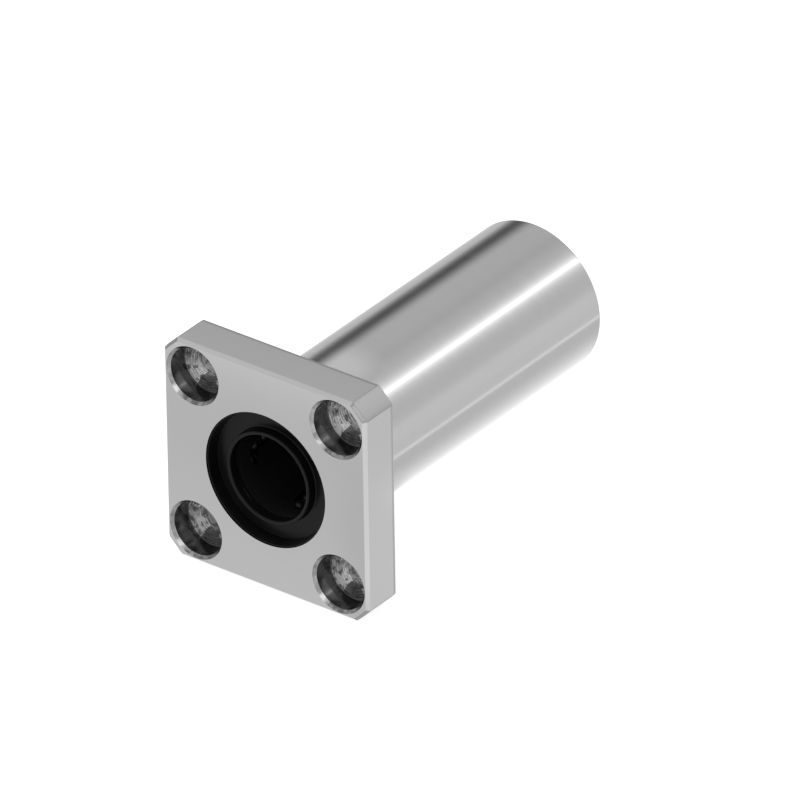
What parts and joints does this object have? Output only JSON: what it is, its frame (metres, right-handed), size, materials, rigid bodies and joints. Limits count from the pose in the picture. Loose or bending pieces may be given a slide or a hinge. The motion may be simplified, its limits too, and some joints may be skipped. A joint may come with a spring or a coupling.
{
  "type": "square flange linear bearing",
  "caption": "Square-flanged linear ball bearing: a counterbored flange and a long sleeve hold recirculating balls that guide a sliding shaft.",
  "frame": {"origin": "centre of the flange's seating face, the back face that the sleeve stands out of, on the bearing axis", "axes": "+Y along the bearing axis from the flange to the sleeve's free end, +X and +Z square to the flange's sides"},
  "size_m": [0.032, 0.057, 0.032],
  "materials": {
    "bearing_steel": "ground bearing steel, satin flange and smoother sleeve",
    "seal_rubber": "matt black moulded rubber",
    "retainer_resin": "moulded black resin",
    "spring_steel": "dark spring steel",
    "ball_steel": "polished bearing balls under dark grease"
  },
  "bodies": {
    "housing": {"flanged_sleeve": "bearing_steel", "front_retainer": "retainer_resin", "rear_retainer": "retainer_resin", "front_end_seal": "seal_rubber", "rear_end_seal": "seal_rubber", "front_snap_ring": "spring_steel", "rear_snap_ring": "spring_steel"},
    "front_load_balls_1": {"front_load_balls_1": "ball_steel"},
    "front_return_balls_1": {"front_return_balls_1": "ball_steel"},
    "front_outer_turn_balls_1": {"front_outer_turn_balls_1": "ball_steel"},
    "front_inner_turn_balls_1": {"front_inner_turn_balls_1": "ball_steel"},
    "front_load_balls_2": {"front_load_balls_2": "ball_steel"},
    "front_return_balls_2": {"front_return_balls_2": "ball_steel"},
    "front_outer_turn_balls_2": {"front_outer_turn_balls_2": "ball_steel"},
    "front_inner_turn_balls_2": {"front_inner_turn_balls_2": "ball_steel"},
    "front_load_balls_3": {"front_load_balls_3": "ball_steel"},
    "front_return_balls_3": {"front_return_balls_3": "ball_steel"},
    "front_outer_turn_balls_3": {"front_outer_turn_balls_3": "ball_steel"},
    "front_inner_turn_balls_3": {"front_inner_turn_balls_3": "ball_steel"},
    "front_load_balls_4": {"front_load_balls_4": "ball_steel"},
    "front_return_balls_4": {"front_return_balls_4": "ball_steel"},
    "front_outer_turn_balls_4": {"front_outer_turn_balls_4": "ball_steel"},
    "front_inner_turn_balls_4": {"front_inner_turn_balls_4": "ball_steel"},
    "rear_load_balls_1": {"rear_load_balls_1": "ball_steel"},
    "rear_return_balls_1": {"rear_return_balls_1": "ball_steel"},
    "rear_outer_turn_balls_1": {"rear_outer_turn_balls_1": "ball_steel"},
    "rear_inner_turn_balls_1": {"rear_inner_turn_balls_1": "ball_steel"},
    "rear_load_balls_2": {"rear_load_balls_2": "ball_steel"},
    "rear_return_balls_2": {"rear_return_balls_2": "ball_steel"},
    "rear_outer_turn_balls_2": {"rear_outer_turn_balls_2": "ball_steel"},
    "rear_inner_turn_balls_2": {"rear_inner_turn_balls_2": "ball_steel"},
    "rear_load_balls_3": {"rear_load_balls_3": "ball_steel"},
    "rear_return_balls_3": {"rear_return_balls_3": "ball_steel"},
    "rear_outer_turn_balls_3": {"rear_outer_turn_balls_3": "ball_steel"},
    "rear_inner_turn_balls_3": {"rear_inner_turn_balls_3": "ball_steel"},
    "rear_load_balls_4": {"rear_load_balls_4": "ball_steel"},
    "rear_return_balls_4": {"rear_return_balls_4": "ball_steel"},
    "rear_outer_turn_balls_4": {"rear_outer_turn_balls_4": "ball_steel"},
    "rear_inner_turn_balls_4": {"rear_inner_turn_balls_4": "ball_steel"}
  },
  "joints": [
    {"name": "front_load_slide_1", "type": "slide", "parent": "housing", "child": "front_load_balls_1", "axis": [0, 1, 0], "range_m": [-0.00106, 0.00106]},
    {"name": "front_return_slide_1", "type": "slide", "parent": "housing", "child": "front_return_balls_1", "axis": [0, 1, 0], "range_m": [-0.00106, 0.00106]},
    {"name": "front_outer_turn_1", "type": "hinge", "parent": "housing", "child": "front_outer_turn_balls_1", "pos_m": [0.00688, 0.00162, 0.00202], "axis": [0.9975, 0, 0.0711], "range_deg": [-30.1, 30.1]},
    {"name": "front_inner_turn_1", "type": "hinge", "parent": "housing", "child": "front_inner_turn_balls_1", "pos_m": [0.00688, 0.01858, 0.00202], "axis": [0.9975, 0, 0.0711], "range_deg": [-30.1, 30.1]},
    {"name": "front_load_slide_2", "type": "slide", "parent": "housing", "child": "front_load_balls_2", "axis": [0, 1, 0], "range_m": [-0.00106, 0.00106]},
    {"name": "front_return_slide_2", "type": "slide", "parent": "housing", "child": "front_return_balls_2", "axis": [0, 1, 0], "range_m": [-0.00106, 0.00106]},
    {"name": "front_outer_turn_2", "type": "hinge", "parent": "housing", "child": "front_outer_turn_balls_2", "pos_m": [-0.00202, 0.00162, 0.00688], "axis": [-0.0711, 0, 0.9975], "range_deg": [-30.1, 30.1]},
    {"name": "front_inner_turn_2", "type": "hinge", "parent": "housing", "child": "front_inner_turn_balls_2", "pos_m": [-0.00202, 0.01858, 0.00688], "axis": [-0.0711, 0, 0.9975], "range_deg": [-30.1, 30.1]},
    {"name": "front_load_slide_3", "type": "slide", "parent": "housing", "child": "front_load_balls_3", "axis": [0, 1, 0], "range_m": [-0.00106, 0.00106]},
    {"name": "front_return_slide_3", "type": "slide", "parent": "housing", "child": "front_return_balls_3", "axis": [0, 1, 0], "range_m": [-0.00106, 0.00106]},
    {"name": "front_outer_turn_3", "type": "hinge", "parent": "housing", "child": "front_outer_turn_balls_3", "pos_m": [-0.00688, 0.00162, -0.00202], "axis": [-0.9975, 0, -0.0711], "range_deg": [-30.1, 30.1]},
    {"name": "front_inner_turn_3", "type": "hinge", "parent": "housing", "child": "front_inner_turn_balls_3", "pos_m": [-0.00688, 0.01858, -0.00202], "axis": [-0.9975, 0, -0.0711], "range_deg": [-30.1, 30.1]},
    {"name": "front_load_slide_4", "type": "slide", "parent": "housing", "child": "front_load_balls_4", "axis": [0, 1, 0], "range_m": [-0.00106, 0.00106]},
    {"name": "front_return_slide_4", "type": "slide", "parent": "housing", "child": "front_return_balls_4", "axis": [0, 1, 0], "range_m": [-0.00106, 0.00106]},
    {"name": "front_outer_turn_4", "type": "hinge", "parent": "housing", "child": "front_outer_turn_balls_4", "pos_m": [0.00202, 0.00162, -0.00688], "axis": [0.0711, 0, -0.9975], "range_deg": [-30.1, 30.1]},
    {"name": "front_inner_turn_4", "type": "hinge", "parent": "housing", "child": "front_inner_turn_balls_4", "pos_m": [0.00202, 0.01858, -0.00688], "axis": [0.0711, 0, -0.9975], "range_deg": [-30.1, 30.1]},
    {"name": "rear_load_slide_1", "type": "slide", "parent": "housing", "child": "rear_load_balls_1", "axis": [0, -1, 0], "range_m": [-0.00106, 0.00106]},
    {"name": "rear_return_slide_1", "type": "slide", "parent": "housing", "child": "rear_return_balls_1", "axis": [0, -1, 0], "range_m": [-0.00106, 0.00106]},
    {"name": "rear_outer_turn_1", "type": "hinge", "parent": "housing", "child": "rear_outer_turn_balls_1", "pos_m": [0.00502, 0.04338, 0.00512], "axis": [0.5326, 0, 0.8463], "range_deg": [-30.1, 30.1]},
    {"name": "rear_inner_turn_1", "type": "hinge", "parent": "housing", "child": "rear_inner_turn_balls_1", "pos_m": [0.00502, 0.02642, 0.00512], "axis": [0.5326, 0, 0.8463], "range_deg": [-30.1, 30.1]},
    {"name": "rear_load_slide_2", "type": "slide", "parent": "housing", "child": "rear_load_balls_2", "axis": [0, -1, 0], "range_m": [-0.00106, 0.00106]},
    {"name": "rear_return_slide_2", "type": "slide", "parent": "housing", "child": "rear_return_balls_2", "axis": [0, -1, 0], "range_m": [-0.00106, 0.00106]},
    {"name": "rear_outer_turn_2", "type": "hinge", "parent": "housing", "child": "rear_outer_turn_balls_2", "pos_m": [0.00512, 0.04338, -0.00502], "axis": [0.8463, 0, -0.5326], "range_deg": [-30.1, 30.1]},
    {"name": "rear_inner_turn_2", "type": "hinge", "parent": "housing", "child": "rear_inner_turn_balls_2", "pos_m": [0.00512, 0.02642, -0.00502], "axis": [0.8463, 0, -0.5326], "range_deg": [-30.1, 30.1]},
    {"name": "rear_load_slide_3", "type": "slide", "parent": "housing", "child": "rear_load_balls_3", "axis": [0, -1, 0], "range_m": [-0.00106, 0.00106]},
    {"name": "rear_return_slide_3", "type": "slide", "parent": "housing", "child": "rear_return_balls_3", "axis": [0, -1, 0], "range_m": [-0.00106, 0.00106]},
    {"name": "rear_outer_turn_3", "type": "hinge", "parent": "housing", "child": "rear_outer_turn_balls_3", "pos_m": [-0.00502, 0.04338, -0.00512], "axis": [-0.5326, 0, -0.8463], "range_deg": [-30.1, 30.1]},
    {"name": "rear_inner_turn_3", "type": "hinge", "parent": "housing", "child": "rear_inner_turn_balls_3", "pos_m": [-0.00502, 0.02642, -0.00512], "axis": [-0.5326, 0, -0.8463], "range_deg": [-30.1, 30.1]},
    {"name": "rear_load_slide_4", "type": "slide", "parent": "housing", "child": "rear_load_balls_4", "axis": [0, -1, 0], "range_m": [-0.00106, 0.00106]},
    {"name": "rear_return_slide_4", "type": "slide", "parent": "housing", "child": "rear_return_balls_4", "axis": [0, -1, 0], "range_m": [-0.00106, 0.00106]},
    {"name": "rear_outer_turn_4", "type": "hinge", "parent": "housing", "child": "rear_outer_turn_balls_4", "pos_m": [-0.00512, 0.04338, 0.00502], "axis": [-0.8463, 0, 0.5326], "range_deg": [-30.1, 30.1]},
    {"name": "rear_inner_turn_4", "type": "hinge", "parent": "housing", "child": "rear_inner_turn_balls_4", "pos_m": [-0.00512, 0.02642, 0.00502], "axis": [-0.8463, 0, 0.5326], "range_deg": [-30.1, 30.1]}
  ],
  "couplings": [
    {"joint": "front_return_slide_1", "follows": "front_load_slide_1", "ratio": -1},
    {"joint": "front_outer_turn_1", "follows": "front_load_slide_1", "rad_per_m": 494.07},
    {"joint": "front_inner_turn_1", "follows": "front_load_slide_1", "rad_per_m": 494.07},
    {"joint": "front_return_slide_2", "follows": "front_load_slide_2", "ratio": -1},
    {"joint": "front_outer_turn_2", "follows": "front_load_slide_2", "rad_per_m": 494.07},
    {"joint": "front_inner_turn_2", "follows": "front_load_slide_2", "rad_per_m": 494.07},
    {"joint": "front_return_slide_3", "follows": "front_load_slide_3", "ratio": -1},
    {"joint": "front_outer_turn_3", "follows": "front_load_slide_3", "rad_per_m": 494.07},
    {"joint": "front_inner_turn_3", "follows": "front_load_slide_3", "rad_per_m": 494.07},
    {"joint": "front_return_slide_4", "follows": "front_load_slide_4", "ratio": -1},
    {"joint": "front_outer_turn_4", "follows": "front_load_slide_4", "rad_per_m": 494.07},
    {"joint": "front_inner_turn_4", "follows": "front_load_slide_4", "rad_per_m": 494.07},
    {"joint": "rear_return_slide_1", "follows": "rear_load_slide_1", "ratio": -1},
    {"joint": "rear_outer_turn_1", "follows": "rear_load_slide_1", "rad_per_m": 494.07},
    {"joint": "rear_inner_turn_1", "follows": "rear_load_slide_1", "rad_per_m": 494.07},
    {"joint": "rear_return_slide_2", "follows": "rear_load_slide_2", "ratio": -1},
    {"joint": "rear_outer_turn_2", "follows": "rear_load_slide_2", "rad_per_m": 494.07},
    {"joint": "rear_inner_turn_2", "follows": "rear_load_slide_2", "rad_per_m": 494.07},
    {"joint": "rear_return_slide_3", "follows": "rear_load_slide_3", "ratio": -1},
    {"joint": "rear_outer_turn_3", "follows": "rear_load_slide_3", "rad_per_m": 494.07},
    {"joint": "rear_inner_turn_3", "follows": "rear_load_slide_3", "rad_per_m": 494.07},
    {"joint": "rear_return_slide_4", "follows": "rear_load_slide_4", "ratio": -1},
    {"joint": "rear_outer_turn_4", "follows": "rear_load_slide_4", "rad_per_m": 494.07},
    {"joint": "rear_inner_turn_4", "follows": "rear_load_slide_4", "rad_per_m": 494.07}
  ]
}
